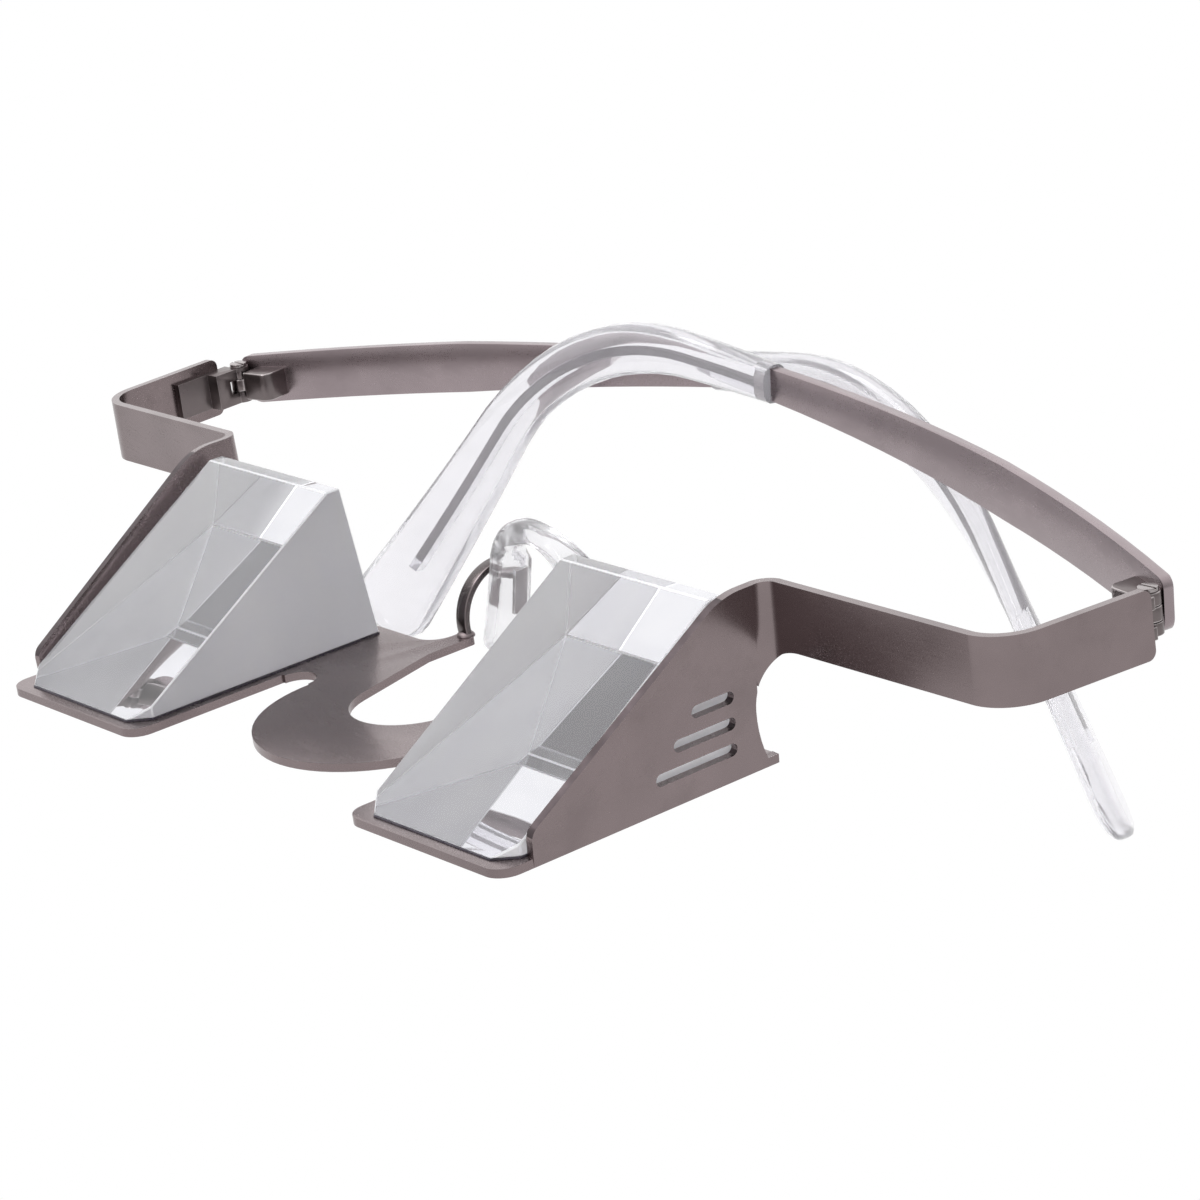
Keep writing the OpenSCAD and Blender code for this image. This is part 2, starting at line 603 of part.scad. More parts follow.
module hinge_lug(side) {
    front = knuckle_r + 0.35;
    back_y = temple_t / 2 - temple_off;
    depth = -back_y + 0.8 * knuckle_r;
    reach = (front + lug_l) * bend_s / bow_r / 2;
    color(STEEL_PALE) on_temple(side) difference() {
        union() {
            translate([0, 0, -middle_half]) cylinder(h = middle_h, r = knuckle_r, $fn = 64);
            translate([0, -knuckle_r / 2, -middle_half]) cube([front + CUT, knuckle_r, middle_h]);
            translate([front, back_y - reach, -lug_h / 2])
                cube([lug_l - depth / 2, depth + reach, lug_h]);
            translate([front + CUT, back_y - reach, -lug_h / 2])
                cube([lug_l - CUT, depth / 2 + reach, lug_h]);
            translate([front + lug_l - depth / 2, back_y + depth / 2, -lug_h / 2])
                cylinder(h = lug_h, r = depth / 2, $fn = 64);
        }
        translate([0, 0, -middle_half - CUT])
            cylinder(h = middle_h + 2 * CUT, r = screw_r + screw_clearance, $fn = 64);
        bow_side(-temple_t / 2 - CUT * 6, CUT * 6 + temple_t, lug_h + 2);
    }
}
// Part of a bowed wall: from v outwards of the temple's middle surface, t thick
module bow_side(v, t, height) {
    translate([bend_s / 2, bow_c - temple_off, -height / 2]) difference() {
        cylinder(h = height, r = bow_r - v, $fn = 360);
        translate([0, 0, -CUT]) cylinder(h = height + 2 * CUT, r = bow_r - v - t, $fn = 360);
    }
}

// Half height of the strip and its core at length s
function half_h(s) = s > strip_end_s ? core_w / 2 : lookup(s, [
    [taper_start, temple_h / 2], [taper_mid, temple_mid_h / 2], [mouth_s, temple_end_h / 2]]);
// Edge of the strip and core in the temple's own plane, up = 1 above and -1 below
function edge(stations, up, extra) = [for (s = stations)
    let (p = path_at(s), w = up * (half_h(s) + extra)) [p[0] + w * sin(p[2]), p[1] + w * cos(p[2])]];
EAR_STEPS = 20;
ear_stations = [for (i = [0:EAR_STEPS]) bend_s + ear_arc * i / EAR_STEPS];

// Side view of the strip and the core, larger all round by extra and longer at the core's end
module temple_outline(extra, longer) {
    step = 0.001;
    ahead = [-temple_ahead, taper_start, taper_mid, mouth_s, strip_end_s];
    core = concat([strip_end_s + step], ear_stations, [temple_l + longer]);
    upper = concat(edge(ahead, 1, extra), edge(core, 1, extra));
    lower = concat(edge(ahead, -1, extra), edge(core, -1, extra));
    difference() {
        polygon(concat(upper, [for (i = [len(lower) - 1:-1:0]) lower[i]]));
        for (up = [-1, 1]) let (corner = up > 0 ? temple_top_r : temple_low_r)
            translate([-temple_ahead, 0]) scale([1, up]) difference() {
                translate([-CUT, temple_h / 2 + extra - corner]) square([corner + CUT, corner + CUT]);
                translate([corner, temple_h / 2 + extra - corner]) circle(corner, $fn = 48);
            }
    }
}
module bowed(rise, extra) {
    intersection() {
        rotate([0, -rise, 0]) rotate([90, 0, 0]) translate([0, 0, -bow_cut / 2])
            linear_extrude(bow_cut) children();
        bow_side(-temple_t / 2 - extra, temple_t + 2 * extra, 4 * ear_r);
    }
}
module temple(side) {
    color(STEEL) on_temple(side) bowed(rise_of(side), 0) temple_outline(0, 0);
}
module temple_tip(side) {
    rings = [for (s = tip_s) tip_ring(s, rise_of(side), side == LEFT ? left_twist : right_twist)];
    n = len(rings);
    end = beside(tip_l, 0, 0, rise_of(side));
    start = beside(mouth_s, 0, 0, rise_of(side));
    points = concat([for (ring = rings) for (p = ring) p], [start, end]);
    last = n * TIP_SIDES;
    faces = concat(
        [for (i = [0:n - 2]) for (k = [0:TIP_SIDES - 1]) for (half = [0, 1])
            let (a = i * TIP_SIDES + k, b = i * TIP_SIDES + (k + 1) % TIP_SIDES)
            half == 0 ? [a, b, b + TIP_SIDES] : [a, b + TIP_SIDES, a + TIP_SIDES]],
        [for (k = [0:TIP_SIDES - 1]) [last, (k + 1) % TIP_SIDES, k]],
        [for (k = [0:TIP_SIDES - 1])
            let (a = (n - 1) * TIP_SIDES + k, b = (n - 1) * TIP_SIDES + (k + 1) % TIP_SIDES)
            [a, b, last + 1]]);
    color(CLEAR) on_temple(side) difference() {
        polyhedron(points, faces);
        bowed(rise_of(side), tip_clearance) temple_outline(tip_clearance, core_room);
    }
}

// Pad arm: a band that stands on the tab's end and curves up and back
module pad_arm(side) {
    color(STEEL) at_rest() on_side(side)
        translate([arm_x - arm_w / 2, arm_cy, arm_cz]) rotate([90, 0, 90]) linear_extrude(arm_w)
        difference() {
            circle(arm_r, $fn = 96);
            circle(arm_r - arm_t, $fn = 96);
            translate([0, -2 * arm_r]) square([2 * arm_r, 4 * arm_r]);
            translate([-2 * arm_r, sheet_t - arm_cz - 2 * arm_r]) square([2 * arm_r, 2 * arm_r]);
        }
}
// Plate inside a leg of the saddle, and the lug that reaches the pad arm
module insert_shape() {
    translate([0, insert_y, saddle_cz]) rotate([0, -saddle_splay, 0])
        translate([saddle_r - saddle_t / 2 - insert_t / 2, 0, -insert_reach])
        cube([insert_t, insert_d, insert_reach - insert_top]);
    translate([insert_x, insert_y, arm_cz + arm_r - arm_t]) cube([arm_x - arm_w / 2 - insert_x, insert_d, arm_t]);
}
module pad_insert(side) {
    color(STEEL_PALE) at_rest() on_side(side) insert_shape();
}
// Saddle, swept from one foot over the nose to the other: x, z and the angle of its outer side
PAD_SIDES = 20;
PAD_STEPS = 18;
saddle_rm = saddle_r - saddle_t / 2;
leg_l = (saddle_cz - saddle_foot + saddle_rm * sin(saddle_splay)) / cos(saddle_splay);
// Down the leg on the left by a length, from where the arch ends; close is how far the foot has shut
function leg_at(down, close) =
    [saddle_rm * cos(saddle_splay) + down * sin(saddle_splay),
     saddle_rm * sin(saddle_splay) - down * cos(saddle_splay), saddle_splay, close,
     saddle_depth + (saddle_foot_depth - saddle_depth) * pow(down / leg_l, 1.5)];
function swap(p) = [-p[0], p[1], 180 - p[2], p[3], p[4]];
saddle_leg = [for (e = [0.995, 0.95, 0.83, 0.65, 0.4, 0]) leg_at(leg_l - saddle_t / 2 * (1 - e),
                  sqrt(1 - e * e)),
              for (i = [1:5]) leg_at((leg_l - saddle_t / 2) * (1 - i / 6), 1)];
saddle_arch = [for (i = [0:PAD_STEPS]) let (a = saddle_splay + (180 - 2 * saddle_splay) * i / PAD_STEPS)
    [saddle_rm * cos(a), saddle_rm * sin(a), a, 1, saddle_depth + (saddle_top_depth - saddle_depth)
     * (sin(a) - sin(saddle_splay)) / (1 - sin(saddle_splay))]];
saddle_path = concat(saddle_leg, saddle_arch,
    [for (i = [len(saddle_leg) - 1:-1:0]) swap(saddle_leg[i])]);
function pad_ring(p) = [for (k = [0:PAD_SIDES - 1])
    let (a = 360 * k / PAD_SIDES,
         u = p[3] * saddle_t / 2 * sign(cos(a)) * pow(abs(cos(a)), 0.55),
         d = (p[4] - saddle_t * (1 - p[3])) / 2 * sign(sin(a)) * pow(abs(sin(a)), 0.55))
    [p[0] + u * cos(p[2]), d - abs(p[4] - saddle_depth) / 2, p[1] + u * sin(p[2])]];
module nose_pad() {
    rings = [for (p = saddle_path) pad_ring(p)];
    n = len(rings);
    points = [for (ring = rings) for (p = ring) p];
    faces = concat(
        [for (i = [0:n - 2]) for (k = [0:PAD_SIDES - 1]) for (half = [0, 1])
            let (a = i * PAD_SIDES + k, b = i * PAD_SIDES + (k + 1) % PAD_SIDES)
            half == 0 ? [a, b + PAD_SIDES, b] : [a, a + PAD_SIDES, b + PAD_SIDES]],
        [[for (k = [0:PAD_SIDES - 1]) k]],
        [[for (k = [PAD_SIDES - 1:-1:0]) (n - 1) * PAD_SIDES + k]]);
    color(CLEAR) at_rest() difference() {
        translate([0, saddle_y + saddle_depth / 2, saddle_cz]) polyhedron(points, faces);
        for (side = [LEFT, RIGHT]) on_side(side) insert_shape();
    }
}

frame_front();
prism(LEFT);  // left_prism
prism(RIGHT);  // right_prism
prism_bond(LEFT);  // left_prism_bond
prism_bond(RIGHT);  // right_prism_bond
hinge_leaf(LEFT);  // left_hinge_leaf
hinge_leaf(RIGHT);  // right_hinge_leaf
hinge_screw(LEFT);  // left_hinge_screw
hinge_screw(RIGHT);  // right_hinge_screw
hinge_lug(LEFT);  // left_hinge_lug
hinge_lug(RIGHT);  // right_hinge_lug
temple(LEFT);  // left_temple
temple(RIGHT);  // right_temple
temple_tip(LEFT);  // left_temple_tip
temple_tip(RIGHT);  // right_temple_tip
pad_arm(LEFT);  // left_pad_arm
pad_arm(RIGHT);  // right_pad_arm
pad_insert(LEFT);  // left_pad_insert
pad_insert(RIGHT);  // right_pad_insert
nose_pad();
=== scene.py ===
import bpy
import json
import math
from mathutils import Matrix, Vector

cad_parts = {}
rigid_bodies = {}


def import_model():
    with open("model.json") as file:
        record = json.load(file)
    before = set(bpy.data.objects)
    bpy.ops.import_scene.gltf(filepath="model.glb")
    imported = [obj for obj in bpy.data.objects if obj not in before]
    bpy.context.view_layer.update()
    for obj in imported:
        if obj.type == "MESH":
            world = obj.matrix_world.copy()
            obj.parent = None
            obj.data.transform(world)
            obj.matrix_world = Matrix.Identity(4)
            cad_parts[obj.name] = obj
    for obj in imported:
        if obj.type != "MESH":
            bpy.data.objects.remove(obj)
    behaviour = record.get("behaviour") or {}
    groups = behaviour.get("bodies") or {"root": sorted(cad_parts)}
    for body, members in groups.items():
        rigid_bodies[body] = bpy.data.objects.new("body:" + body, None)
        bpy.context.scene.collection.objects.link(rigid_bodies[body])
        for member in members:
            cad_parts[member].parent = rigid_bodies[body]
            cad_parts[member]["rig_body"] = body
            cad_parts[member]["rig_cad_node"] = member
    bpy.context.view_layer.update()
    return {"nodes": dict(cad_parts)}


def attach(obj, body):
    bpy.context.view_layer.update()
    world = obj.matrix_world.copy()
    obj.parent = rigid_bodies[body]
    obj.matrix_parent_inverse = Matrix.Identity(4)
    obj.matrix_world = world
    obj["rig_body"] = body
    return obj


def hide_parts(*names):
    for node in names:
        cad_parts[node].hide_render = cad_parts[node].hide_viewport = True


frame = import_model()
nodes = frame["nodes"]

MM = 0.001
SIDES = ("left", "right")
# The plates slope up by this angle, and LEVEL turns a direction into their level frame
PITCH = math.radians(14.9098)
LEVEL = Matrix.Rotation(-PITCH, 3, "X")
# Place in metres, turn in radians and lens in millimetres of the photograph's camera
CAMERA_PLACE = (0.331346, -0.259793, 0.090297)
CAMERA_TURN = (1.397261, -0.071339, 0.903030)
CAMERA_LENS = 123.47


# Camera at the photograph's place, found from the straight edges of the prisms and plates
def camera():
    bpy.ops.object.camera_add(location=CAMERA_PLACE, rotation=CAMERA_TURN)
    cam = bpy.context.object
    cam.data.sensor_width = 36.0
    cam.data.lens = CAMERA_LENS
    cam.data.clip_start = 0.01
    bpy.context.scene.camera = cam


# Helpers for materials

# Takes a value from between the first two of four levels to between the last two
def map_range(tree, value, levels):
    node = tree.nodes.new("ShaderNodeMapRange")
    for i, level in enumerate(levels, 1):
        node.inputs[i].default_value = level
    tree.links.new(value, node.inputs[0])
    return node.outputs[0]


# The larger of two values
def larger(tree, a, b):
    node = tree.nodes.new("ShaderNodeMath")
    node.operation = "MAXIMUM"
    tree.links.new(a, node.inputs[0])
    tree.links.new(b, node.inputs[1])
    return node.outputs[0]


# One material and short ways to wire its nodes. Every pattern reads Object coordinates.
class Finish:
    def __init__(self, name):
        self.mat = bpy.data.materials.new(name)
        self.mat.use_nodes = True
        self.tree = self.mat.node_tree
        self.shader = self.tree.nodes["Principled BSDF"]
        self.place = self.tree.nodes.new("ShaderNodeTexCoord")

    # Plain values on the shader's own sockets
    def plain(self, **values):
        for key, value in values.items():
            self.shader.inputs[key.replace("_", " ")].default_value = value
        return self

    def link(self, out, into):
        self.tree.links.new(out, into)

    # Noise with features of a size in millimetres, stretched along the axes
    def noise(self, size, detail=3.0, stretch=(1, 1, 1), turn=(0, 0, 0), rough=0.55):
        mapping = self.tree.nodes.new("ShaderNodeMapping")
        mapping.inputs["Rotation"].default_value = turn
        mapping.inputs["Scale"].default_value = [1 / s for s in stretch]
        self.link(self.place.outputs["Object"], mapping.inputs["Vector"])
        node = self.tree.nodes.new("ShaderNodeTexNoise")
        node.inputs["Scale"].default_value = 1 / (size * MM)
        node.inputs["Detail"].default_value = detail
        node.inputs["Roughness"].default_value = rough
        self.link(mapping.outputs["Vector"], node.inputs["Vector"])
        return node.outputs["Fac"]

    # The same for this material's own nodes
    def spread(self, value, low, high, to_low, to_high):
        return map_range(self.tree, value, (low, high, to_low, to_high))

    # Black below the first level of a value and white above the second
    def spots(self, value, low, high):
        return self.shades(value, (low, (0, 0, 0)), (high, (1, 1, 1)))

    # The first value plus a share of the second
    def sum(self, a, b, share=1.0):
        node = self.tree.nodes.new("ShaderNodeMath")
        node.operation = "MULTIPLY_ADD"
        self.link(b, node.inputs[0])
        node.inputs[1].default_value = share
        self.link(a, node.inputs[2])
        return node.outputs[0]

    # A colour for each level of a value
    def shades(self, value, *stops):
        node = self.tree.nodes.new("ShaderNodeValToRGB")
        ramp = node.color_ramp
        while len(ramp.elements) < len(stops):
            ramp.elements.new(0.5)
        for element, (place, colour) in zip(ramp.elements, stops):
            element.position = place
            element.color = (*colour, 1)
        self.link(value, node.inputs[0])
        return node.outputs[0]

    # A blend of two colours. The node's colour sockets are its inputs 6 and 7 and its output 2.
    def mix(self, amount, a, b):
        node = self.tree.nodes.new("ShaderNodeMix")
        node.data_type = "RGBA"
        self.link(amount, node.inputs[0])
        self.link(a, node.inputs[6])
        self.link(b, node.inputs[7])
        return node.outputs[2]

    # Relief from values, each with its depth in millimetres
    def bump(self, *heights):
        normal = None
        for value, depth in heights:
            node = self.tree.nodes.new("ShaderNodeBump")
            node.inputs["Strength"].default_value = 1.0
            node.inputs["Distance"].default_value = depth * MM
            self.link(value, node.inputs["Height"])
            if normal is not None:
                self.link(normal, node.inputs["Normal"])
            normal = node.outputs["Normal"]
        self.link(normal, self.shader.inputs["Normal"])

    def colour(self, out):
        self.link(out, self.shader.inputs["Base Color"])

    def roughness(self, out):
        self.link(out, self.shader.inputs["Roughness"])


# Depth, in millimetres, of the finest relief on metal, ground glass and plastic
RELIEF = 0.0012


# A colour made darker or lighter
def tone(colour, factor):
    return tuple(min(1.0, c * factor) for c in colour)


# Satin metal: fine blasted grain, faint rolling streaks, cloudy tone and dull finger marks
def satin_metal(name, colour, rough, grain=0.16, marks=0.10):
    f = Finish(name).plain(Metallic=1.0)
    fine = f.noise(grain, 4.0, rough=0.7)
    streaks = f.noise(0.22, 3.0, stretch=(40, 1, 1))
    cloud = f.noise(9.0, 4.0)
    smear = f.noise(5.0, 5.0, stretch=(2.4, 1, 1), turn=(0.3, 0.2, 0.7), rough=0.6)
    pits = f.noise(0.5, 2.0)
    tone_value = f.sum(f.sum(f.spread(cloud, 0.3, 0.7, 0.25, 0.75), fine, 0.30), streaks, 0.18)
    base = f.shades(tone_value, (0.30, tone(colour, 0.88)), (0.62, colour), (1.0, tone(colour, 1.12)))
    darker = f.shades(fine, (0, tone(colour, 0.78)), (1, tone(colour, 0.95)))
    dull = f.spots(smear, 0.50, 0.66)
    f.colour(f.mix(f.spread(dull, 0, 1, 0, 0.35), base, darker))
    even = f.sum(f.spread(fine, 0.3, 0.7, rough - 0.04, rough + 0.05), streaks, 0.05)
    f.roughness(f.sum(even, dull, marks))
    f.bump((fine, RELIEF), (streaks, RELIEF * 0.6), (f.spots(pits, 0.28, 0.34), RELIEF * 1.5))
    return f.mat


# Metal with a mottled, worn tone and small nicks. On rounded edges its lighter colour is rubbed wear
# and painted highlight, and on the core inside a tip its darker colour is painted shade
def mottled_metal(name, colour, rough):
    f = Finish(name).plain(Metallic=1.0)
    fine = f.noise(0.12, 3.0)
    worn = f.noise(2.2, 4.0)
    nick = f.noise(0.7, 2.0)
    f.colour(f.shades(worn, (0.3, tone(colour, 0.75)), (0.55, colour), (0.75, tone(colour, 1.25))))
    f.roughness(f.sum(f.spread(worn, 0.3, 0.7, rough + 0.08, rough), fine, 0.08))
    f.bump((nick, 0.006), (fine, 0.001))
    return f.mat


# Refractive index of the prisms' glass, read from the widths of the bright stripes inside them
GLASS_INDEX = 1.69


# Polished optical glass with faint wipe marks
def polished_glass():
    f = Finish("polished_glass").plain(Transmission_Weight=1.0, IOR=GLASS_INDEX)
    wipe = f.noise(4.0, 4.0, stretch=(5, 1, 1), turn=(0.2, 0.1, 0.9))
    cloud = f.noise(7.0, 2.0)
    film = f.sum(f.spread(cloud, 0.3, 0.7, 0, 0.6), wipe, 0.4)
    f.colour(f.shades(film, (0.2, (0.975, 0.975, 0.992)), (0.8, (0.992, 0.992, 1.0))))
    f.roughness(f.spread(wipe, 0.5, 0.8, 0.0, 0.02))
    f.bump((wipe, 0.0002))
    return f.mat


# Finely ground glass: pale and cloudy, with fine scratches, letting a share of the light through
def ground_glass(name, colour, clear, rough):
    f = Finish(name).plain(Transmission_Weight=clear, IOR=GLASS_INDEX)
    frost = f.noise(0.14, 3.0, rough=0.6)
    cloud = f.noise(6.0, 4.0)
    scratch = f.noise(0.3, 3.0, stretch=(1, 14, 14), turn=(0.0, 0.4, 0.3))
    mist = f.sum(f.spread(cloud, 0.3, 0.7, 0.2, 0.75), frost, 0.2)
    f.colour(f.shades(mist, (0.25, tone(colour, 0.94)), (0.9, tone(colour, 1.05))))
    f.roughness(f.sum(f.spread(frost, 0.3, 0.7, rough - 0.04, rough + 0.05), scratch, 0.04))
    f.bump((frost, RELIEF), (scratch, 0.0008))
    return f.mat


# Silvering under the prisms, seen through the glass, with cloudy spots
def silvering():
    f = Finish("silvered_base").plain(Metallic=1.0)
    cloud = f.noise(8.0, 3.0)
    spot = f.noise(1.2, 2.0)
    tarnish = f.sum(cloud, f.spots(spot, 0.7, 0.8), -0.3)
    f.colour(f.shades(tarnish, (0.1, (0.80, 0.80, 0.84)), (0.5, (0.92, 0.92, 0.95)),
                      (0.8, (0.95, 0.95, 0.97))))
    f.roughness(f.spread(cloud, 0.3, 0.7, 0.0, 0.015))
    return f.mat


# Cured layer of cement under the prisms, seen dark from the side
def cement():
    f = Finish("dark_cement").plain(IOR=1.5)
    cloud = f.noise(1.4, 3.0)
    bead = f.noise(0.4, 2.0)
    f.colour(f.shades(cloud, (0.3, (0.035, 0.03, 0.045)), (0.7, (0.09, 0.08, 0.10))))
    f.roughness(f.spread(bead, 0.3, 0.7, 0.2, 0.5))
    f.bump((bead, 0.02))
    return f.mat


# Clear soft plastic: almost colourless, with flow lines along it and a few specks
def clear_plastic(name, tint, rough, cloudiness, ripple, ior=1.47):
    f = Finish(name).plain(Transmission_Weight=1.0 - cloudiness, IOR=ior)
    flow = f.noise(2.2, 3.0, stretch=(7, 1, 1), turn=(0, 0.5, 0))
    skin = f.noise(0.5, 3.0)
    speck = f.noise(0.9, 2.0)
    f.colour(f.shades(flow, (0.3, tone(tint, 0.975)), (0.7, tone(tint, 1.03))))
    f.roughness(f.sum(f.spread(flow, 0.35, 0.75, rough, rough + 0.05), f.spots(speck, 0.76, 0.8), 0.1))
    f.bump((flow, ripple), (skin, RELIEF))
    return f.mat


# Helpers for pieces

def nothing_selected():
    if bpy.context.mode != "OBJECT":
        bpy.ops.object.mode_set(mode="OBJECT")
    bpy.ops.object.select_all(action="DESELECT")


def only(obj):
    nothing_selected()
    obj.select_set(True)
    bpy.context.view_layer.objects.active = obj


def use(obj, *materials):
    obj.data.materials.clear()
    for m in materials:
        obj.data.materials.append(m)


# Points closer than this, in millimetres, are merged, and faces turned less than this are joined
WELD = 0.004
FLAT = math.radians(0.6)
# Corners sharper than this are rounded
SHARP = math.radians(28)
# Angle in degrees up to which the faces of a round piece shade as one
ROUND = 50
# Which of its materials a face has: the first, the second on a rounded edge, the third where a
# metal piece is darker, which on the core inside a tip is painted shade, and on a prism's sides and
# base the last three
PLAIN, EDGE, DARK = range(3)
FROSTED, BACKED, SILVERED = range(2, 5)


# A CAD node's own mesh, merged into one skin. Its edges are rounded, by a width in millimetres and
# in a number of rings, and take the second material. Smooth is the angle in degrees up to which
# faces shade as one. The clamp on overlap takes away nearly all the rounding of the front sheet,
# the temple strips and the right leaf, so their edges stay sharp.
def dressed(node, name, body, materials, edge=0.12, rings=2, smooth=32):
    skin = nodes[node].copy()
    skin.data = nodes[node].data.copy()
    skin.name = name
    skin.parent = None
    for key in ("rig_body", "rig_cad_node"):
        if key in skin:
            del skin[key]
    bpy.context.scene.collection.objects.link(skin)
    only(skin)
    use(skin, *materials)
    for p in skin.data.polygons:
        p.material_index = PLAIN
    if skin.data.has_custom_normals:
        bpy.ops.mesh.customdata_custom_splitnormals_clear()
    bpy.ops.object.mode_set(mode="EDIT")
    bpy.ops.mesh.select_all(action="SELECT")
    bpy.ops.mesh.remove_doubles(threshold=WELD * MM)
    bpy.ops.mesh.dissolve_limited(angle_limit=FLAT)
    bpy.ops.object.mode_set(mode="OBJECT")
    if edge:
        bevel = skin.modifiers.new("rounded_edges", "BEVEL")
        bevel.width = edge * MM
        bevel.segments = rings
        bevel.limit_method = "ANGLE"
        bevel.angle_limit = SHARP
        bevel.use_clamp_overlap = True
        bevel.material = EDGE
        bpy.ops.object.modifier_apply(modifier="rounded_edges")
    bpy.ops.object.shade_smooth_by_angle(angle=math.radians(smooth))
    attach(skin, body)
    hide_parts(node)
    return skin


# The pieces

# The side plates lie further out than this, in millimetres
SIDE_PLATES_OUT = 40
# Least part of a face's normal that points forwards and up on a slanting edge, sideways on a side
# and down on a base
SLANT = 0.3
SIDEWAYS = 0.5
DOWN = 0.9


# The side plates' slanting cut edges beside the glass are left darker than the rest
def front_sheet():
    sheet = dressed("frame_front", "front_sheet", "front",
                    [sheet_steel, sheet_edge_wear_and_highlight, cut_steel], edge=0.13)
    for p in sheet.data.polygons:
        n = LEVEL @ p.normal
        if abs(p.center.x) > SIDE_PLATES_OUT * MM and n.y < -SLANT and n.z > SLANT:
            p.material_index = DARK


# The prisms' points that lie no higher than BASE_HEIGHT above the lowest are lifted off the
# bonding layer by BASE_LIFT, in millimetres
BASE_LIFT = 0.03
BASE_HEIGHT = 0.5


# A prism with a polished front and back, a ground side towards the nose, another beside the side
# plate, and a silvered base
def prism_block(side):
    block = dressed(side + "_prism", side + "_prism_glass", "front",
                    [clear_glass, chamfer_glass, frosted_glass, backed_glass, silvered_base],
                    edge=0.15, rings=1, smooth=20)
    outward = 1 if side == "left" else -1
    for p in block.data.polygons:
        n = LEVEL @ p.normal
        if p.material_index == PLAIN and abs(n.x) > SIDEWAYS:
            p.material_index = FROSTED if n.x * outward < 0 else BACKED
        elif n.z < -DOWN:
            p.material_index = SILVERED
    only(block)
    bpy.ops.object.mode_set(mode="EDIT")
    bpy.ops.mesh.select_all(action="DESELECT")
    bpy.ops.object.mode_set(mode="OBJECT")
    low = min((LEVEL @ v.co).z for v in block.data.vertices)
    for v in block.data.vertices:
        v.select = (LEVEL @ v.co).z < low + BASE_HEIGHT * MM
    bpy.ops.object.mode_set(mode="EDIT")
    bpy.ops.transform.translate(value=LEVEL.transposed() @ Vector((0, 0, BASE_LIFT * MM)))
    bpy.ops.object.mode_set(mode="OBJECT")


# Length, in millimetres, by which the strip's lighter steel reaches into the tip before the painted
# shade on its core begins
LIGHT_END = 2


# The core inside the tip, further from the hinge than the tip's mouth, gets a darker copy of the
# steel: painted shade
def temple_and_tip(side):
    body = side + "_arm"
    strip = dressed(side + "_temple", side + "_temple_strip", body,
                    [temple_steel, temple_edge_wear_and_highlight, core_steel_painted_shade], edge=0.16)
    pin = nodes[side + "_hinge_screw"].data.vertices[0].co
    mouth = min((v.co - pin).length for v in nodes[side + "_temple_tip"].data.vertices)
    for p in strip.data.polygons:
        if (p.center - pin).length > mouth + LIGHT_END * MM:
            p.material_index = DARK
    dressed(side + "_temple_tip", side + "_clear_tip", body,
            [tip_plastic], edge=0, smooth=ROUND)
    dressed(side + "_hinge_lug", side + "_lug", body, [hinge_steel, hinge_edge_wear_and_highlight], edge=0.14)


# The hinge's parts on the front
def hinge(side):
    dressed(side + "_hinge_leaf", side + "_leaf", "front",
            [hinge_steel, hinge_edge_wear_and_highlight], edge=0.12)
    dressed(side + "_hinge_screw", side + "_screw", "front",
            [screw_steel, hinge_edge_wear_and_highlight], edge=0.06)


def nose_rest():
    dressed("nose_pad", "nose_saddle", "front", [pad_plastic], edge=0, smooth=ROUND)
    for side in SIDES:
        dressed(side + "_pad_arm", side + "_arm_band", "front",
                [arm_steel, sheet_edge_wear_and_highlight], edge=0.1)
        dressed(side + "_pad_insert", side + "_insert", "front",
                [insert_steel, hinge_edge_wear_and_highlight], edge=0.08)
        arm_braze(side)


# Radius of the braze beads, unevenness of their skin, and height of a pad arm's foot that they sit
# round, in millimetres, and the beads' stretch along the axes
BEAD_R = 0.95
BEAD_UNEVEN = 0.012
FOOT_HEIGHT = 0.4
BEAD_STRETCH = (1.15, 1.0, 0.55)
BEAD_SEEDS = {"left": 3, "right": 8}


# Bead of braze round the foot of a pad arm: the upper half of a slightly uneven flattened ball. The
# cut takes points within 0.1 mm of its plane as lying on it, so a rim stays below the plane, where
# the fill doubles some faces, and not the same ones on each run.
def arm_braze(side):
    points = [LEVEL @ v.co for v in nodes[side + "_pad_arm"].data.vertices]
    low = min(p.z for p in points)
    foot = [p for p in points if p.z < low + FOOT_HEIGHT * MM]
    x = (min(p.x for p in foot) + max(p.x for p in foot)) / 2
    y = (min(p.y for p in foot) + max(p.y for p in foot)) / 2
    place = LEVEL.transposed() @ Vector((x, y, low))
    up = LEVEL.transposed() @ Vector((0, 0, 1))
    nothing_selected()
    bpy.ops.mesh.primitive_uv_sphere_add(segments=40, ring_count=20, radius=BEAD_R * MM,
                                         location=place, rotation=(PITCH, 0, 0))
    bead = bpy.context.object
    bead.name = side + "_arm_braze"
    bead.scale = BEAD_STRETCH
    bpy.ops.object.transform_apply(location=True, rotation=True, scale=True)
    bpy.ops.object.mode_set(mode="EDIT")
    bpy.ops.mesh.select_all(action="SELECT")
    bpy.ops.transform.vertex_random(offset=BEAD_UNEVEN * MM, uniform=0.6, seed=BEAD_SEEDS[side])
    bpy.ops.mesh.bisect(plane_co=place, plane_no=up, use_fill=True, clear_inner=True)
    bpy.ops.object.mode_set(mode="OBJECT")
    bpy.ops.object.shade_smooth_by_angle(angle=math.radians(ROUND))
    use(bead, braze_metal)
    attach(bead, "front")


# The studio

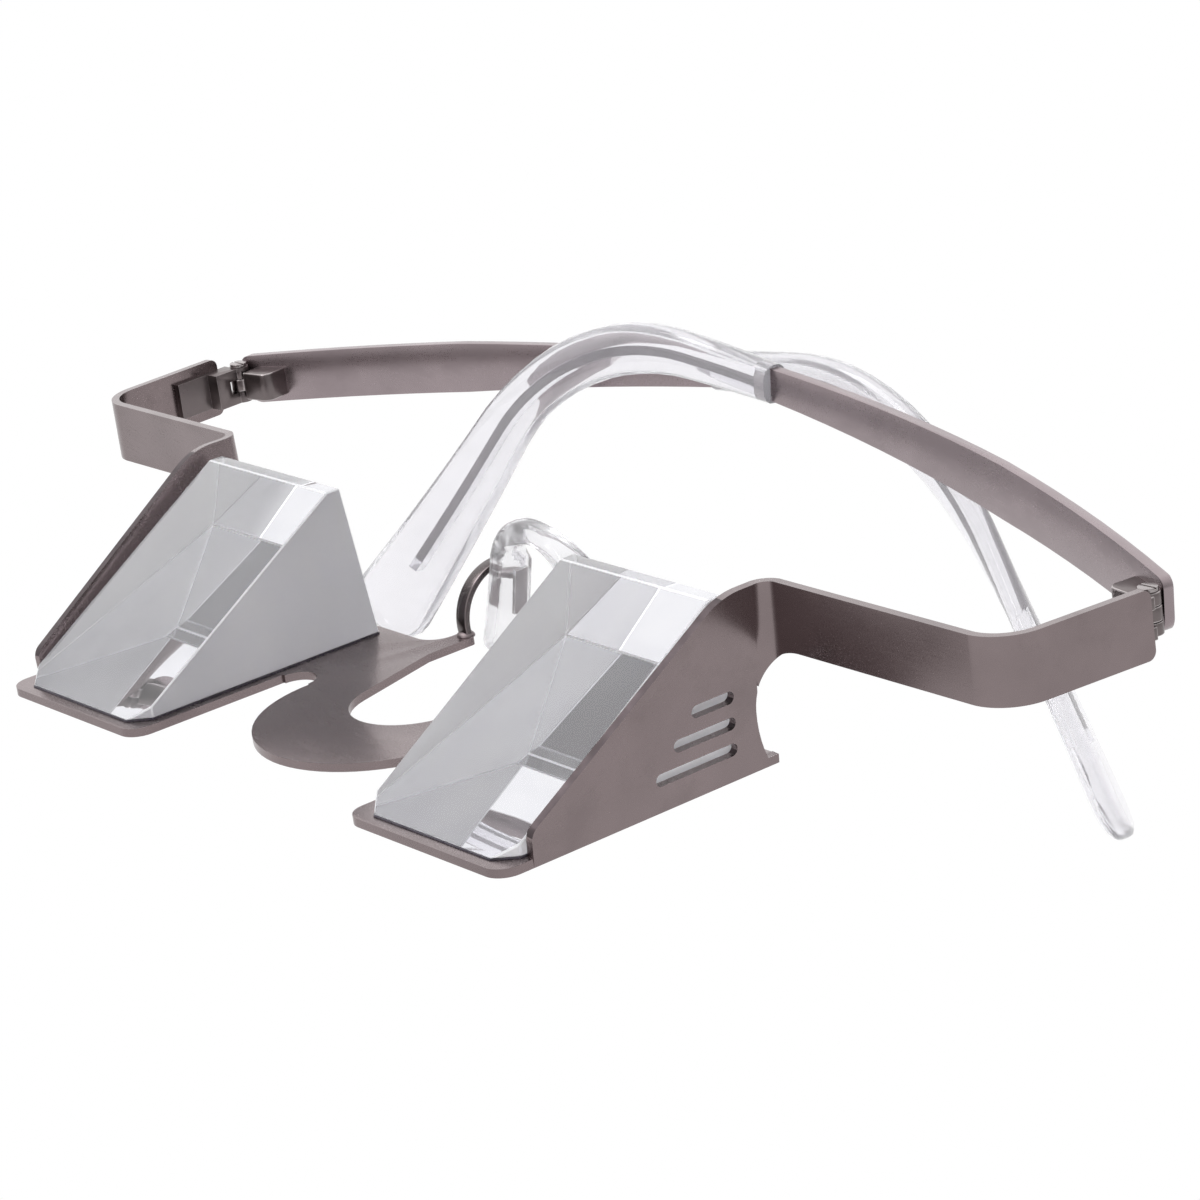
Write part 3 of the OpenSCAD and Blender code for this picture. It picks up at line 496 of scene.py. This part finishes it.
# Plain white to the camera and in what mirrors or shows it, and its own shader to all other rays
def white_for_camera(tree, shaded):
    light = tree.nodes.new("ShaderNodeEmission")
    light.inputs["Color"].default_value = (1, 1, 1, 1)
    light.inputs["Strength"].default_value = 1.0
    path = tree.nodes.new("ShaderNodeLightPath").outputs
    beyond = larger(tree, path["Is Glossy Ray"], path["Is Transmission Ray"])
    seen = larger(tree, path["Is Camera Ray"], beyond)
    mix = tree.nodes.new("ShaderNodeMixShader")
    tree.links.new(seen, mix.inputs[0])
    tree.links.new(shaded, mix.inputs[1])
    tree.links.new(light.outputs[0], mix.inputs[2])
    return mix.outputs[0]


# The sky is brightest in this direction. Its level goes from the first to the second while the
# cosine of the angle to that direction goes through the range.
SKY_AIM = (-0.55, 0.30, 0.78)
SKY_RANGE = (-0.5, 0.95)
SKY_LEVELS = (0.45, 1.35)
# Place, size in metres and power in watts of each lamp
LAMPS = (((-0.35, -0.45, 0.75), 0.5, 3.0), ((0.15, -0.75, 0.20), 0.3, 1.2))


def paper_floor():
    nothing_selected()
    bpy.ops.mesh.primitive_plane_add(size=8, location=(0, 0, 0))
    floor = bpy.context.object
    floor.name = "floor"
    paper = bpy.data.materials.new("white_paper")
    paper.use_nodes = True
    tree = paper.node_tree
    shader = tree.nodes["Principled BSDF"]
    shader.inputs["Base Color"].default_value = (0.92, 0.92, 0.92, 1)
    shader.inputs["Roughness"].default_value = 0.9
    surface = tree.nodes["Material Output"].inputs["Surface"]
    tree.links.new(white_for_camera(tree, shader.outputs[0]), surface)
    floor.data.materials.append(paper)


# White to the camera and through glass, and a soft sky with a brighter side to all other rays
def soft_sky():
    sky = bpy.data.worlds.new("soft_studio")
    bpy.context.scene.world = sky
    sky.use_nodes = True
    tree = sky.node_tree
    back = tree.nodes["Background"]
    place = tree.nodes.new("ShaderNodeTexCoord")
    aim = tree.nodes.new("ShaderNodeVectorMath")
    aim.operation = "DOT_PRODUCT"
    aim.inputs[1].default_value = Vector(SKY_AIM).normalized()
    tree.links.new(place.outputs["Generated"], aim.inputs[0])
    path = tree.nodes.new("ShaderNodeLightPath").outputs
    level = tree.nodes.new("ShaderNodeMix")
    tree.links.new(larger(tree, path["Is Camera Ray"], path["Is Transmission Ray"]), level.inputs[0])
    tree.links.new(map_range(tree, aim.outputs["Value"], SKY_RANGE + SKY_LEVELS), level.inputs[2])
    level.inputs[3].default_value = 1.0
    tree.links.new(level.outputs[0], back.inputs["Strength"])
    back.inputs["Color"].default_value = (1, 1, 1, 1)


def lamps():
    for place, size, power in LAMPS:
        bpy.ops.object.light_add(type="AREA", location=place)
        lamp = bpy.context.object
        lamp.data.size = size
        lamp.data.energy = power
        lamp.rotation_euler = (-Vector(place)).to_track_quat("-Z", "Y").to_euler()


camera()

sheet_steel = satin_metal("sheet_steel", (0.225, 0.182, 0.185), 0.22, marks=0.05)
# Lighter edge colour of the sheet and the pad arms: rubbed wear and painted highlight
sheet_edge_wear_and_highlight = mottled_metal("sheet_edge_wear_and_highlight", (0.25, 0.21, 0.215), 0.28)
cut_steel = mottled_metal("cut_steel", (0.085, 0.068, 0.072), 0.36)
temple_steel = satin_metal("temple_steel", (0.31, 0.258, 0.27), 0.26, grain=0.13, marks=0.06)
# Lighter edge colour of the temple strips: rubbed wear and painted highlight
temple_edge_wear_and_highlight = mottled_metal("temple_edge_wear_and_highlight", (0.55, 0.50, 0.51), 0.24)
# Darker copy of the temple steel for the core inside a tip: painted shade
core_steel_painted_shade = mottled_metal("core_steel_painted_shade", (0.115, 0.085, 0.10), 0.34)
arm_steel = satin_metal("arm_steel", (0.11, 0.095, 0.095), 0.2, marks=0.05)
hinge_steel = satin_metal("hinge_steel", (0.17, 0.145, 0.145), 0.28)
# Lighter edge colour of the hinge parts, screws and pad inserts: rubbed wear and painted highlight
hinge_edge_wear_and_highlight = mottled_metal("hinge_edge_wear_and_highlight", (0.45, 0.41, 0.41), 0.22)
screw_steel = satin_metal("screw_steel", (0.35, 0.32, 0.32), 0.24)
insert_steel = satin_metal("insert_steel", (0.30, 0.26, 0.27), 0.30)
braze_metal = mottled_metal("braze_metal", (0.24, 0.20, 0.205), 0.34)
clear_glass = polished_glass()
frosted_glass = ground_glass("ground_glass", (0.95, 0.94, 0.995), 0.85, 0.6)
backed_glass = ground_glass("backed_glass", (0.985, 0.98, 0.995), 0.55, 0.6)
chamfer_glass = ground_glass("chamfer_glass", (0.93, 0.93, 0.96), 0.5, 0.4)
silvered_base = silvering()
bond_cement = cement()
tip_plastic = clear_plastic("tip_plastic", (0.945, 0.935, 0.97), 0.04, cloudiness=0.17, ripple=0.012)
pad_plastic = clear_plastic("pad_plastic", (0.95, 0.945, 0.965), 0.05, cloudiness=0.12, ripple=0.06,
                            ior=1.42)

front_sheet()
for side in SIDES:
    prism_block(side)
    hinge(side)
    temple_and_tip(side)
    use(nodes[side + "_prism_bond"], bond_cement)
nose_rest()
paper_floor()
soft_sky()
lamps()
bpy.context.scene.view_settings.view_transform = "Standard"
